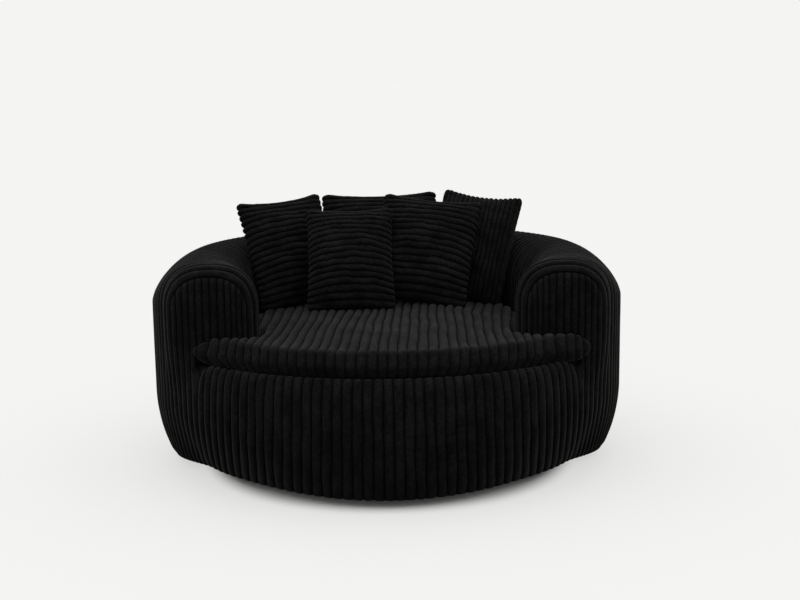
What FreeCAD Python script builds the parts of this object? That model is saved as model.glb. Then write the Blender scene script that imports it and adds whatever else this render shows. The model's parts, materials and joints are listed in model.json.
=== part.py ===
import FreeCAD, Part
import math
import os

# A wide round lounge chair on a low swivel base. Millimetres, +Z up.
# The origin is the swivel axis on the floor, and the chair faces -Y.

V = FreeCAD.Vector
UP = V(0, 0, 1)

# Body: the oval plan and the horseshoe roll that makes arms and back
half_width = 755
half_depth = 660
rim_height = 20
roll_height = 678
side_thickness = 300
back_thickness = 270
arm_front = 285
arm_front_inner = 395
rim_tuck = 70
corner_tuck = 58
tuck_top = 250
cloth = 3.5
foam = 30
liner = 4
seat_gap = 0.3
skin_gap = 0.6
body_step_count = 8
rib_step_count = 2
right_angle = 90
straight_angle = 180
arc_shares = (0, 0.5, 1)

# Arm ends: the bull nose in front of each arm
nose_round = 80
nose_turn_angle = 60
nose_step_count = 5

# Front border: the padded front of the base
deck_height = 384
crease_inset = 36
shoulder_inset = 9
border_lip = 60
border_depth = 105
front_board = 6
front_foot = 82
front_station_count = 13

# Floor base
glide_height = 6
glide_radius = 17
glide_count = 8
glide_ring_radius = 390
base_board_radius = 430
board = 18

# Swivel: two pressed plates with a slide ring between them, held by a king bolt
swivel_height = 24
plate_side = 300
plate_thickness = 3
boss_radius = 128
boss_height = 6
slide_ring_inner_radius = 90
slide_ring_height = 5.7
running_gap = 0.3
thread_gap = 0.05
king_radius = 10
king_head_radius = 22
king_head_height = 5
bolt_x = 110
bolt_y = 130
bolt_radius = 4
bolt_head_radius = 8
bolt_head_height = 3
bolt_length = 45
screw_length = 14
screw_place = 115
hole_gap = 0.2

# Frame
ring_overlap = 70
rail_width = 45
rail_height = 65
rail_end_gap_x = 15
rail_end_gap_y = 35
tie_x = 200
rib_gap = 2.6
front_board_gap = 8
notch_gap = 3
rib_hole_margin = 45
top_rail_width = 50
top_rail_height = 30
top_rail_drop = 7
seat_ring_drop = 66
seat_ring_width = 70
post_side = 40
post_inset = 36
front_post_inset = 170
front_post_angles = (-62, -90, -118)
well_post_angles = (34, 72, 108, 146)
ring_inset = 148

# Seat support
strap_width = 60
strap_thickness = 2
strap_pitch = 110
straps_long_count = 7
straps_cross_count = 7
strap_front_inset = 220
strap_inset = 17.5
deck_cloth = 2
dust_cloth = 1
dust_hole_radius = 215

# Seat cushion
well_gap = 10
cushion_gap = 3
cushion_back_gap = 13
core_gap = 1.5
cushion_edge_height = 84
cushion_crown = 26
cushion_front_inset = 38
cushion_tip_height = 12
cushion_cover = 3
cushion_level_shares = (0, 0.25, 0.52, 0.78, 1)
cushion_level_insets = (24, 7, 0, 6, 24)
crown_side_inset = 80
crown_back_inset = 45
crown_front_inset = 85
crown_shares = (1, 0.84, 0.62, 0.36)
crown_arc_count = 8
halving_count = 40
hidden_step_count = 2

# Pillows
pillow_cover = 3
pillow_edge_inset = 9
pillow_gap = 0.5
pillow_station_shares = (-1, -0.78, -0.4, 0, 0.4, 0.78, 1)
pillow_thick_shares = (0.12, 0.56, 0.93, 1, 0.93, 0.56, 0.12)
pillow_high_shares = (1, 0.965, 0.945, 0.94, 0.945, 0.965, 1)
lens_high_shares = (1, 0.8, 0.4, -0.4, -0.8)
lens_deep_shares = (0, 0.36, 0.83, 0.83, 0.36)

# Each pillow: width, height, thickness, turn, lean and roll
pillows = {
    "pillow_front_left": (285, 350, 125, 0, 33, -1),
    "pillow_front_right": (334, 365, 130, -9, 31, 6),
    "pillow_left": (300, 370, 120, 23, 27, -4),
    "pillow_back": (402, 365, 140, 0, 24.5, -1),
    "pillow_right": (280, 370, 120, -18, 27, 6),
}
# Where their feet stand, as shares of the well's half width and half depth
pillow_foot_shares = {
    "pillow_front_left": (-0.253, -0.137),
    "pillow_front_right": (0.207, 0.073),
    "pillow_left": (-0.591, 0.272),
    "pillow_back": (-0.037, 0.656),
    "pillow_right": (0.546, 0.353),
}

# Derived heights
board_top = glide_height + board
frame_bottom = board_top + swivel_height
ring_bottom = frame_bottom - board
seat_ring_top = deck_height - seat_ring_drop + board
cushion_bottom = deck_height + seat_gap
foam_inset = cloth + skin_gap
liner_inset = foam_inset + foam + seat_gap
rib_inset = liner_inset + liner + rib_gap
well_half_x = half_width - side_thickness
well_half_y = half_depth - back_thickness
rail_reach_x = well_half_x - rail_end_gap_x
rail_reach_y = well_half_y - rail_end_gap_y
strap_first_y = strap_front_inset - half_depth
crown_half_x = well_half_x - crown_side_inset
crown_half_y = (well_half_y - crown_back_inset + half_depth - crown_front_inset) / 2
crown_y = well_half_y - crown_back_inset - crown_half_y
diagonal_share = math.cos(math.radians(right_angle / 2))
nose_angle = -math.degrees(math.asin(arm_front / half_depth))


class Station:
    """An upright plane through the body's wall: a point on the outer oval, the way inward, and the width."""

    def __init__(self, outer, inner):
        self.outer = outer
        chord = inner.sub(outer)
        self.width = chord.Length
        self.inward = chord.normalize()
        corner_share = 2 * outer.x / half_width * min(0, outer.y) / half_depth
        self.tuck = rim_tuck + corner_tuck * corner_share ** 2

    def at(self, depth, height):
        """The point this deep inside the outer oval, at this height."""
        place = self.outer.add(V(self.inward).multiply(depth))
        return V(place.x, place.y, height)


def oval(half_x, half_y, angle):
    turn = math.radians(angle)
    return V(half_x * math.cos(turn), half_y * math.sin(turn), 0)


def well_point(angle):
    """The seat well's own outline: nearly straight arms in front, an oval behind."""
    if angle >= 0:
        return oval(well_half_x, well_half_y, angle)
    forward = -half_depth * math.sin(math.radians(angle))
    share = forward / arm_front
    return V(well_half_x - (well_half_x - arm_front_inner) * share ** 2, -forward, 0)


def body_station(angle):
    """A station of the horseshoe. Past the middle of the back it mirrors the other side."""
    if angle > right_angle:
        other = body_station(straight_angle - angle)
        inner = other.at(other.width, 0)
        return Station(V(-other.outer.x, other.outer.y, 0), V(-inner.x, inner.y, 0))
    return Station(oval(half_width, half_depth, angle), well_point(angle))


def front_station(angle):
    """A station of the base front, square to the outer oval."""
    turn = math.radians(angle)
    outward = V(math.cos(turn) / half_width, math.sin(turn) / half_depth, 0).normalize()
    outer = oval(half_width, half_depth, angle)
    return Station(outer, outer.sub(outward.multiply(border_depth)))


def body_stations():
    step = (right_angle - nose_angle) / body_step_count
    return [body_station(nose_angle + step * count) for count in range(2 * body_step_count + 1)]


def border_stations():
    """Stations of the base front. Their planes turn evenly, so that the last ones meet the arms flat."""
    end_angle = -math.degrees(math.asin((arm_front + seat_gap) / half_depth))
    stations = []
    for count in range(front_station_count):
        share = 2 * count / (front_station_count - 1) - 1
        outer = oval(half_width, half_depth, share * (right_angle + end_angle) - right_angle)
        inward = oval(-border_depth, -border_depth, share * right_angle - right_angle)
        stations.append(Station(outer, outer.add(inward)))
    return stations


def line(start, end):
    return Part.LineSegment(start, end).toShape()


def arc(start, middle, end):
    return Part.Arc(start, middle, end).toShape()


def tuck_depth(station, inset, height):
    """How deep the lower wall lies at this height, where it draws in towards the rim."""
    if height >= tuck_top:
        return inset
    radius = (station.tuck ** 2 + (tuck_top - rim_height) ** 2) / (2 * station.tuck)
    return radius - math.sqrt((radius - inset) ** 2 - (tuck_top - height) ** 2)


def wall_edges(station, inset, foot, inner_foot):
    """One face of the roll's wall: up the outside, over the half round and down the inside."""
    width, radius = station.width, station.width / 2
    spring = roll_height - radius
    reach = radius - inset
    lean = reach * diagonal_share
    middle = (foot + tuck_top) / 2
    points = [station.at(tuck_depth(station, inset, foot), foot), station.at(inset, tuck_top)]
    points += [station.at(inset, spring), station.at(radius, spring + reach)]
    points += [station.at(width - inset, spring), station.at(width - inset, inner_foot)]
    edges = [arc(points[0], station.at(tuck_depth(station, inset, middle), middle), points[1])]
    edges.append(line(points[1], points[2]))
    edges.append(arc(points[2], station.at(radius - lean, spring + lean), points[3]))
    edges.append(arc(points[3], station.at(radius + lean, spring + lean), points[4]))
    edges.append(line(points[4], points[5]))
    return edges, points[0], points[5]


def roll_section(station, inset, thickness, foot, inner_foot):
    """A closed section of a shell that wraps the roll."""
    outside, out_start, out_end = wall_edges(station, inset, foot, inner_foot)
    inside, in_start, in_end = wall_edges(station, inset + thickness, foot, inner_foot)
    return Part.Wire(outside + [line(out_end, in_end)] + inside[::-1] + [line(in_start, out_start)])


def roll_shell(inset, thickness, foot, inner_foot):
    sections = [roll_section(station, inset, thickness, foot, inner_foot) for station in body_stations()]
    return Part.makeLoft(sections, True, True)


def roll_staves(inset, thickness, foot, inner_foot):
    """The same shell glued up from straight staves, as cut foam is."""
    sections = [roll_section(station, inset, thickness, foot, inner_foot) for station in body_stations()]
    staves = [Part.makeLoft(list(pair), True, True) for pair in zip(sections, sections[1:])]
    return Part.Compound(staves)


def band_shell(near, far, low, high):
    """A bent board that follows the roll. The four functions give its depths and heights at a station."""
    sections = []
    for station in body_stations():
        corners = [station.at(near(station), low(station)), station.at(far(station), low(station))]
        corners += [station.at(far(station), high(station)), station.at(near(station), high(station))]
        sections.append(Part.makePolygon(corners + corners[:1]))
    return Part.makeLoft(sections, True, True)


def spring_height(station):
    return roll_height - station.width / 2


def outer_liner():
    return band_shell(
        lambda station: liner_inset,
        lambda station: liner_inset + liner,
        lambda station: tuck_top,
        spring_height,
    )


def inner_liner():
    return band_shell(
        lambda station: station.width - liner_inset - liner,
        lambda station: station.width - liner_inset,
        lambda station: frame_bottom,
        spring_height,
    )


def rib_outline(station, inset):
    edges, start, end = wall_edges(station, inset, frame_bottom, frame_bottom)
    return Part.Wire(edges + [line(end, start)])


def rib_hole(station):
    """The lightening hole, with a half round head that follows the rib."""
    near, far = rib_inset + rib_hole_margin, station.width - rib_inset - rib_hole_margin
    low = tuck_top
    high = roll_height - station.width / 2 - rib_hole_margin
    middle = (near + far) / 2
    corners = [station.at(near, low), station.at(near, high), station.at(far, high), station.at(far, low)]
    crown = arc(corners[1], station.at(middle, high + (far - near) / 2), corners[2])
    sides = [line(corners[0], corners[1]), crown, line(corners[2], corners[3])]
    return Part.Wire(sides + [line(corners[3], corners[0])])


def rail_notch(station, gap):
    """The outline of the top rail's notch in a rib."""
    near = station.width / 2 - top_rail_width / 2 - gap
    far = station.width / 2 + top_rail_width / 2 + gap
    low = roll_height - rib_inset - top_rail_drop - top_rail_height - hole_gap
    corners = [station.at(near, low), station.at(far, low)]
    corners += [station.at(far, roll_height), station.at(near, roll_height)]
    return Part.makePolygon(corners + corners[:1])


def plate_across(wire, station, start, thickness):
    """A flat plate of this outline, which starts this far to one side of the station's plane."""
    across = UP.cross(station.inward)
    face = Part.Face(wire)
    face.translate(V(across).multiply(start))
    return face.extrude(V(across).multiply(thickness))


def rib(station):
    """A plywood rib with its lightening hole and its notch."""
    plate = plate_across(rib_outline(station, rib_inset), station, -board / 2, board)
    for wire in (rib_hole(station), rail_notch(station, notch_gap)):
        plate = plate.cut(plate_across(wire, station, -board, 2 * board))
    return plate


def body_ribs():
    return Part.Compound([rib(station) for station in body_stations()[rib_step_count:-1:rib_step_count]])


def arm_front_board(side):
    """The D-shaped board that closes an arm, just behind the bull nose."""
    station = body_stations()[0 if side > 0 else -1]
    start = -board if side > 0 else 0
    plate = plate_across(rib_outline(station, rib_inset + front_board_gap), station, start, board)
    return plate.cut(plate_across(rail_notch(station, front_board_gap), station, -board, 2 * board))


def top_rail():
    return band_shell(
        lambda station: station.width / 2 - top_rail_width / 2,
        lambda station: station.width / 2 + top_rail_width / 2,
        lambda station: roll_height - rib_inset - top_rail_drop - top_rail_height,
        lambda station: roll_height - rib_inset - top_rail_drop,
    )


def nose_section(side, inset, forward):
    """A D-shaped section of the bull nose, this far in front of the arm's end."""
    station = body_stations()[0 if side > 0 else -1]
    radius = station.width / 2
    spring = roll_height - radius
    reach = radius - inset
    lean = reach * diagonal_share
    low = deck_height + seat_gap

    def at(depth, height):
        place = station.at(depth, height)
        return V(place.x, -arm_front - forward, place.z)

    far = station.width - inset
    edges = [line(at(inset, low), at(inset, spring))]
    edges.append(arc(at(inset, spring), at(radius - lean, spring + lean), at(radius, spring + reach)))
    edges.append(arc(at(radius, spring + reach), at(radius + lean, spring + lean), at(far, spring)))
    edges.append(line(at(far, spring), at(far, low)))
    edges.append(line(at(far, low), at(inset, low)))
    return Part.Wire(edges)


def nose(side, inset, start):
    """The bull nose, drawn in by the inset, from this far in front of the arm's end."""
    radius = nose_round - inset
    first = math.asin(start / radius)
    last = math.radians(nose_turn_angle)
    sections = []
    for count in range(nose_step_count):
        turn = first + (last - first) * count / (nose_step_count - 1)
        sections.append(nose_section(side, inset + radius * (1 - math.cos(turn)), radius * math.sin(turn)))
    return Part.makeLoft(sections, True, True)


def arm_end_cover(side):
    return nose(side, 0, 0).cut(nose(side, cloth, 0))


def arm_end_foam(side):
    return nose(side, foam_inset, seat_gap)


def border_face(station, inset, foot):
    """The outer line of the base front: in at the rim, full above, and in again at the crease."""
    middle = (foot + tuck_top) / 2
    shoulder = (tuck_top + deck_height) / 2
    low = station.at(tuck_depth(station, inset, foot), foot)
    full = station.at(inset, tuck_top)
    crease = station.at(crease_inset + inset, deck_height - inset)
    edges = [arc(low, station.at(tuck_depth(station, inset, middle), middle), full)]
    edges.append(arc(full, station.at(inset + shoulder_inset, shoulder - inset / 2), crease))
    return edges, low, crease


def border_cover_section(station):
    outside, low, crease = border_face(station, 0, rim_height)
    inside, inner_low, inner_crease = border_face(station, cloth, rim_height)
    lip = station.at(crease_inset + border_lip, deck_height)
    lip_low = station.at(crease_inset + border_lip, deck_height - cloth)
    edges = outside + [line(crease, lip), line(lip, lip_low), line(lip_low, inner_crease)]
    return Part.Wire(edges + inside[::-1] + [line(inner_low, low)])


def border_foam_section(station):
    face, low, crease = border_face(station, foam_inset, front_foot)
    depth = border_depth - seat_gap
    back_high, back_low = station.at(depth, crease.z), station.at(depth, front_foot)
    return Part.Wire(face + [line(crease, back_high), line(back_high, back_low), line(back_low, low)])


def front_board_section(station):
    near, far = border_depth, border_depth + front_board
    low, high = front_foot, seat_ring_top - board
    corners = [station.at(near, low), station.at(far, low), station.at(far, high), station.at(near, high)]
    return Part.makePolygon(corners + corners[:1])


def before_arms(clearance, low, height):
    """The space in front of the arms' ends, which the platform's crescent is cut to."""
    corner = V(-half_width, -arm_front - clearance - half_depth, low)
    return Part.makeBox(2 * half_width, half_depth, height, corner)


def front_piece(section):
    return Part.makeLoft([section(station) for station in border_stations()], True, True)


def oval_board(half_x, half_y, low, thickness):
    """A flat oval board, whichever way it is longer."""
    ring = Part.Ellipse(V(0, 0, low), max(half_x, half_y), min(half_x, half_y)).toShape()
    if half_y > half_x:
        ring.rotate(V(0, 0, low), UP, right_angle)
    return Part.Face(Part.Wire(ring)).extrude(V(0, 0, thickness))


def oval_disc(inset, low, thickness):
    """A flat oval board, this far inside the outer oval."""
    return oval_board(half_width - inset, half_depth - inset, low, thickness)


def well_wire(clearance, low, front):
    """The seat well in plan, drawn in by the clearance and run forward to the given line."""
    right = [well_point(angle) for angle in (nose_angle, nose_angle / 2, 0)]
    back = [well_point(angle) for angle in (0, right_angle / 2, right_angle)]
    middle = V(0, 0, 0)

    def drawn(point):
        way = V(point).sub(middle).normalize().multiply(clearance)
        inside = point.sub(way) if point.y >= 0 else V(point.x - clearance, point.y, 0)
        return V(inside.x, inside.y, low)

    right, back = [drawn(point) for point in right], [drawn(point) for point in back]

    def mirrored(points):
        return [V(-point.x, point.y, point.z) for point in reversed(points)]

    start = V(right[0].x, -front, low)
    edges = [line(start, right[0]), arc(*right), arc(*back), arc(*mirrored(back)), arc(*mirrored(right))]
    edges.append(line(V(-right[0].x, right[0].y, low), V(-start.x, start.y, low)))
    edges.append(line(V(-start.x, start.y, low), start))
    return Part.Wire(edges)


def platform(clearance, low, thickness):
    """The seat's floor: the well between the arms and the crescent in front of them."""
    well = Part.Face(well_wire(clearance, low, arm_front + nose_round)).extrude(V(0, 0, thickness))
    crescent = oval_disc(border_depth + front_board + clearance, low, thickness)
    return well.fuse(crescent.common(before_arms(clearance, low, thickness))).removeSplitter()


def seat_ring():
    low = seat_ring_top - board
    return platform(well_gap, low, board).cut(platform(seat_ring_width, low, board))


def bottom_ring():
    inner_x, inner_y = well_half_x - ring_overlap, well_half_y - ring_overlap
    return oval_disc(ring_inset, ring_bottom, board).cut(oval_board(inner_x, inner_y, ring_bottom, board))


def bolt_places():
    return [V(x, y, 0) for x in (-bolt_x, bolt_x) for y in (-bolt_y, bolt_y)]


def screw_places():
    return [V(x, y, 0) for x in (-screw_place, screw_place) for y in (-screw_place, screw_place)]


def pegs(places, radius, low, height):
    return [Part.makeCylinder(radius, height, V(place.x, place.y, low)) for place in places]


def rail_box(reach_x, reach_y, middle):
    low = V(middle.x - reach_x, middle.y - reach_y, frame_bottom)
    return Part.makeBox(2 * reach_x, 2 * reach_y, rail_height, low)


def lap_boxes(from_low):
    """The half laps where cross rails and tie rails cross."""
    half = rail_height / 2
    low = frame_bottom if from_low else frame_bottom + half - hole_gap
    side = rail_width + 2 * hole_gap
    boxes = []
    for x in (-tie_x, tie_x):
        for y in (-bolt_y, bolt_y):
            boxes.append(Part.makeBox(side, side, half + hole_gap, V(x - side / 2, y - side / 2, low)))
    return boxes


def cross_rails():
    rails = []
    for y in (-bolt_y, bolt_y):
        rail = rail_box(rail_reach_x, rail_width / 2, V(0, y, 0))
        holes = pegs(bolt_places(), bolt_radius + hole_gap, frame_bottom, bolt_length)
        for cutter in lap_boxes(False) + holes:
            rail = rail.cut(cutter)
        rails.append(rail)
    return Part.Compound(rails)


def tie_rails():
    rails = []
    for x in (-tie_x, tie_x):
        rail = rail_box(rail_width / 2, rail_reach_y, V(x, 0, 0))
        for cutter in lap_boxes(True):
            rail = rail.cut(cutter)
        rails.append(rail)
    return Part.Compound(rails)


def post_places():
    places = [station_at(angle, front_post_inset) for angle in front_post_angles]
    for angle in well_post_angles:
        edge = well_point(angle if angle <= right_angle else straight_angle - angle)
        place = edge.sub(V(edge).normalize().multiply(post_inset))
        places.append(V(math.copysign(place.x, right_angle - angle), place.y, 0))
    return places


def station_at(angle, depth):
    return front_station(angle).at(depth, 0)


def seat_posts():
    height = seat_ring_top - board - frame_bottom
    posts = []
    for place in post_places():
        corner = V(place.x - post_side / 2, place.y - post_side / 2, frame_bottom)
        posts.append(Part.makeBox(post_side, post_side, height, corner))
    return Part.Compound(posts)


def straps(count, along_y):
    """Elastic webbing, cut to the seat ring's outline. The cross straps lie on the long ones."""
    low = seat_ring_top + (0 if along_y else strap_thickness)
    outline = platform(well_gap + strap_inset, low, strap_thickness)
    made = []
    for number in range(count):
        offset = (number - (count - 1) / 2) * strap_pitch
        if along_y:
            corner = V(offset - strap_width / 2, -half_depth, low)
            band = Part.makeBox(strap_width, 2 * half_depth, strap_thickness, corner)
        else:
            corner = V(-half_width, strap_first_y + number * strap_pitch, low)
            band = Part.makeBox(2 * half_width, strap_width, strap_thickness, corner)
        made += band.common(outline).Solids
    return Part.Compound(made)


def deck_pad():
    low = seat_ring_top + 2 * strap_thickness + seat_gap
    return platform(well_gap, low, deck_height - deck_cloth - seat_gap - low)


def deck_cover():
    return platform(well_gap, deck_height - deck_cloth, deck_cloth)


def dust_cover():
    low = ring_bottom - seat_gap - dust_cloth
    hole = Part.makeCylinder(dust_hole_radius, dust_cloth, V(0, 0, low))
    return oval_disc(ring_inset, low, dust_cloth).cut(hole)


def glide_feet():
    made = []
    for number in range(glide_count):
        turn = 2 * math.pi * number / glide_count
        place = V(glide_ring_radius * math.cos(turn), glide_ring_radius * math.sin(turn), 0)
        made += pegs([place], glide_radius, 0, glide_height)
    return Part.Compound(made)


def base_board():
    disc = Part.makeCylinder(base_board_radius, board, V(0, 0, glide_height))
    cutters = pegs(screw_places(), bolt_radius + hole_gap, board_top - screw_length, screw_length)
    recess = king_head_height + hole_gap
    cutters.append(Part.makeCylinder(king_head_radius + hole_gap, recess, V(0, 0, board_top - recess)))
    for cutter in cutters:
        disc = disc.cut(cutter)
    return disc


def swivel_plate(low, boss_low, places):
    """A square plate with a pressed round boss, and holes for its fasteners and the king bolt."""
    plate = Part.makeBox(plate_side, plate_side, plate_thickness, V(-plate_side / 2, -plate_side / 2, low))
    plate = plate.fuse(Part.makeCylinder(boss_radius, boss_height, V(0, 0, boss_low)))
    bottom = min(low, boss_low)
    height = plate_thickness + boss_height
    for cutter in pegs(places, bolt_radius + hole_gap, bottom, height):
        plate = plate.cut(cutter)
    return plate.cut(Part.makeCylinder(king_radius + running_gap, height, V(0, 0, bottom)))


def lower_plate():
    return swivel_plate(board_top, board_top + plate_thickness, screw_places())


def upper_plate():
    low = frame_bottom - plate_thickness
    return swivel_plate(low, low - boss_height, bolt_places())


def slide_ring():
    low = board_top + plate_thickness + boss_height
    ring = Part.makeCylinder(boss_radius, slide_ring_height, V(0, 0, low))
    return ring.cut(Part.makeCylinder(slide_ring_inner_radius, slide_ring_height, V(0, 0, low)))


def king_bolt():
    """The bolt that the chair turns on. Its head sits under the lower plate, let into the board."""
    low = board_top - king_head_height
    top = frame_bottom + running_gap
    bolt = Part.makeCylinder(king_head_radius, king_head_height, V(0, 0, low))
    bolt = bolt.fuse(Part.makeCylinder(king_radius, top + king_head_height - board_top, V(0, 0, board_top)))
    return bolt


def king_nut():
    """The nut with its washer, on the upper plate."""
    low = frame_bottom + running_gap
    nut = Part.makeCylinder(king_head_radius, king_head_height, V(0, 0, low))
    return nut.cut(Part.makeCylinder(king_radius + thread_gap, king_head_height, V(0, 0, low)))


def bolts(places, head_low, head_above):
    """Button heads with their shanks, the head above or below the shank."""
    made = []
    length = screw_length + plate_thickness if head_above else bolt_length - bolt_head_height
    for place in places:
        head = Part.makeCylinder(bolt_head_radius, bolt_head_height, V(place.x, place.y, head_low))
        shank_low = head_low - length if head_above else head_low + bolt_head_height
        made.append(head.fuse(Part.makeCylinder(bolt_radius, length, V(place.x, place.y, shank_low))))
    return Part.Compound(made)


def tip_angle(depth, reach):
    """Where on the outer oval a line at this depth comes as near the front as the reach, by halving."""
    low, high = -right_angle, nose_angle
    for _ in range(halving_count):
        middle = (low + high) / 2
        low, high = (middle, high) if station_at(middle, depth).y < -reach else (low, middle)
    return low


def cushion_outline(height, inset):
    """The cushion in plan: round front, ears before the arms, sides along them and a round back."""
    clear = cushion_gap + inset
    nose_x = arm_front_inner + nose_round
    nose_clear = nose_round + clear
    turns = [math.radians(nose_turn_angle) * share for share in reversed(arc_shares)]
    bend = [V(nose_x - nose_clear * math.cos(t), -arm_front - nose_clear * math.sin(t), 0) for t in turns]
    depth = cushion_front_inset + inset
    last = tip_angle(depth, cushion_tip_height - bend[0].y)
    front = [station_at(angle, depth) for angle in (-right_angle, (last - right_angle) / 2, last)]
    ear = V(front[2].x, bend[0].y, 0)
    side = []
    for angle in (nose_angle, nose_angle / 2, 0):
        gap = cushion_back_gap + (cushion_gap - cushion_back_gap) * angle / nose_angle
        side.append(V(well_point(angle).x - gap - inset, well_point(angle).y, 0))
    back = []
    for angle in (0, right_angle / 2, right_angle):
        point = well_point(angle)
        back.append(point.sub(V(point).normalize().multiply(cushion_back_gap + inset)))
    half = [front, [front[2], ear], [ear, bend[0]], bend, [bend[2]] + side[1:], back]

    def edge_of(points):
        return line(*points) if len(points) == 2 else arc(*points)

    right = [[V(p.x, p.y, height) for p in points] for points in half]
    left = [[V(-p.x, p.y, height) for p in reversed(points)] for points in reversed(half)]
    return Part.Wire([edge_of(points) for points in right + left])


def crown_outline(size, height):
    half_x, half_y = crown_half_x * size, crown_half_y * size
    edges = []
    for number in range(crown_arc_count):
        turns = [2 * math.pi * (number + share) / crown_arc_count for share in arc_shares]
        edges.append(arc(*[V(half_x * math.cos(t), crown_y + half_y * math.sin(t), height) for t in turns]))
    return Part.Wire(edges)


def crown_height(share):
    """The height of the crown over the cushion's edge, by how far out a place lies."""
    return cushion_crown * (1 - min(1, share) ** 2)


def cushion_form(inset, floor, every):
    """The cushion's form: drawn in at its seams, full between them, crowned. Hidden faces skip levels."""
    sections = []
    for level, drawn in list(zip(cushion_level_shares, cushion_level_insets))[::every]:
        height = cushion_bottom + floor + (cushion_edge_height - inset - floor) * level
        sections.append(cushion_outline(height, inset + drawn))
    top = cushion_bottom + cushion_edge_height - inset
    crown = [crown_outline(share, top + crown_height(share)) for share in crown_shares[::every]]
    return Part.makeLoft(sections, True, True).fuse(Part.makeLoft(crown, True, True))


def cushion_top(place):
    share = math.hypot(place.x / crown_half_x, (place.y - crown_y) / crown_half_y)
    return cushion_bottom + cushion_edge_height + crown_height(max(share, crown_shares[-1]))


def lens(x, reach, depth, curved):
    """A pillow's section: two arcs outside, or the flats inside them that its hidden faces have."""
    if curved:
        top, low = V(x, 0, reach), V(x, 0, -reach)
        return Part.Wire([arc(top, V(x, depth, 0), low), arc(low, V(x, -depth, 0), top)])
    side = [V(x, depth * deep, reach * high) for high, deep in zip(lens_high_shares, lens_deep_shares)]
    other = [V(x, -point.y, -point.z) for point in side]
    return Part.makePolygon(side + other + side[:1])


def pillow_form(width, height, thickness, inset):
    """A pillow's form: lens-shaped sections that thin out to the side seams."""
    sections = []
    edge = pillow_edge_inset if inset else 0
    for place, thick, high in zip(pillow_station_shares, pillow_thick_shares, pillow_high_shares):
        x = place * (width / 2 - edge)
        sections.append(lens(x, high * height / 2 - edge, thick * (thickness / 2 - inset), not inset))
    return Part.makeLoft(sections, True, True)


def pillow_foot(name):
    """The place below the middle of a pillow's lower seam."""
    share_x, share_y = pillow_foot_shares[name]
    return V(share_x * well_half_x, share_y * well_half_y, 0)


def foot_height(spec, foot):
    """The least height of a pillow's foot that keeps its lower seam on the cushion's crown."""
    width, height, _, turn, lean, roll = spec
    way = oval(width / 2, width / 2, turn)
    heights = []
    for share, high in zip(pillow_station_shares, pillow_high_shares):
        place = foot.add(V(way).multiply(share))
        rise = (1 - high) * height / 2 - share * width / 2 * math.sin(math.radians(roll))
        heights.append(cushion_top(place) - rise * math.cos(math.radians(lean)))
    return max(heights)


def place_pillow(form, spec, foot):
    """Stands a pillow on its foot, leant back, then turned and put on the cushion's crown."""
    height = spec[1]
    turn, lean, roll = spec[3:]
    form.translate(V(0, 0, height / 2))
    form.rotate(V(0, 0, 0), V(0, 1, 0), roll)
    form.rotate(V(0, 0, 0), V(1, 0, 0), -lean)
    form.rotate(V(0, 0, 0), UP, turn)
    form.translate(V(foot.x, foot.y, foot_height(spec, foot) + pillow_gap))
    return form


def pillow_pieces(name):
    spec, foot = pillows[name], pillow_foot(name)
    width, height, thickness = spec[:3]
    outer = pillow_form(width, height, thickness, 0)
    inner = pillow_form(width, height, thickness, pillow_cover)
    insert = pillow_form(width, height, thickness, pillow_cover + seat_gap)
    return place_pillow(outer.cut(inner), spec, foot), place_pillow(insert, spec, foot)


def save(name, shape):
    shape.exportStep(os.path.join("parts", name + ".step"))


def main():
    save("glide_feet", glide_feet())
    save("base_board", base_board())
    save("swivel_lower_plate", lower_plate())
    save("base_screws", bolts(screw_places(), board_top + plate_thickness, True))
    save("king_bolt", king_bolt())
    save("king_nut", king_nut())
    save("slide_ring", slide_ring())
    save("swivel_upper_plate", upper_plate())
    save("plate_bolts", bolts(bolt_places(), frame_bottom - plate_thickness - bolt_head_height, False))
    save("bottom_ring", bottom_ring())
    save("cross_rails", cross_rails())
    save("tie_rails", tie_rails())
    save("body_ribs", body_ribs())
    save("top_rail", top_rail())
    save("seat_posts", seat_posts())
    save("seat_ring", seat_ring())
    save("front_panel", front_piece(front_board_section))
    save("outer_liner", outer_liner())
    save("inner_liner", inner_liner())
    save("webbing_long", straps(straps_long_count, True))
    save("webbing_cross", straps(straps_cross_count, False))
    save("deck_pad", deck_pad())
    save("deck_cloth", deck_cover())
    save("dust_cover", dust_cover())
    save("arm_back_foam", roll_staves(foam_inset, foam, ring_bottom, seat_ring_top))
    save("arm_back_cover", roll_shell(0, cloth, rim_height, seat_ring_top))
    save("front_border_foam", front_piece(border_foam_section))
    save("front_border_cover", front_piece(border_cover_section))
    for side, word in ((1, "right"), (-1, "left")):
        save("arm_front_board_" + word, arm_front_board(side))
        save("arm_end_foam_" + word, arm_end_foam(side))
        save("arm_end_cover_" + word, arm_end_cover(side))
    save("seat_cushion_cover", cushion_form(0, 0, 1).cut(cushion_form(cushion_cover, cushion_cover, hidden_step_count)))
    core_floor = cushion_cover + seat_gap
    save("seat_cushion_core", cushion_form(cushion_cover + core_gap, core_floor, hidden_step_count))
    for name in pillows:
        cover, insert = pillow_pieces(name)
        save(name + "_cover", cover)
        save(name + "_insert", insert)


main()
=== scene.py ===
import json
import math

import bmesh
import bpy
import numpy as np
from mathutils import Matrix


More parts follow.
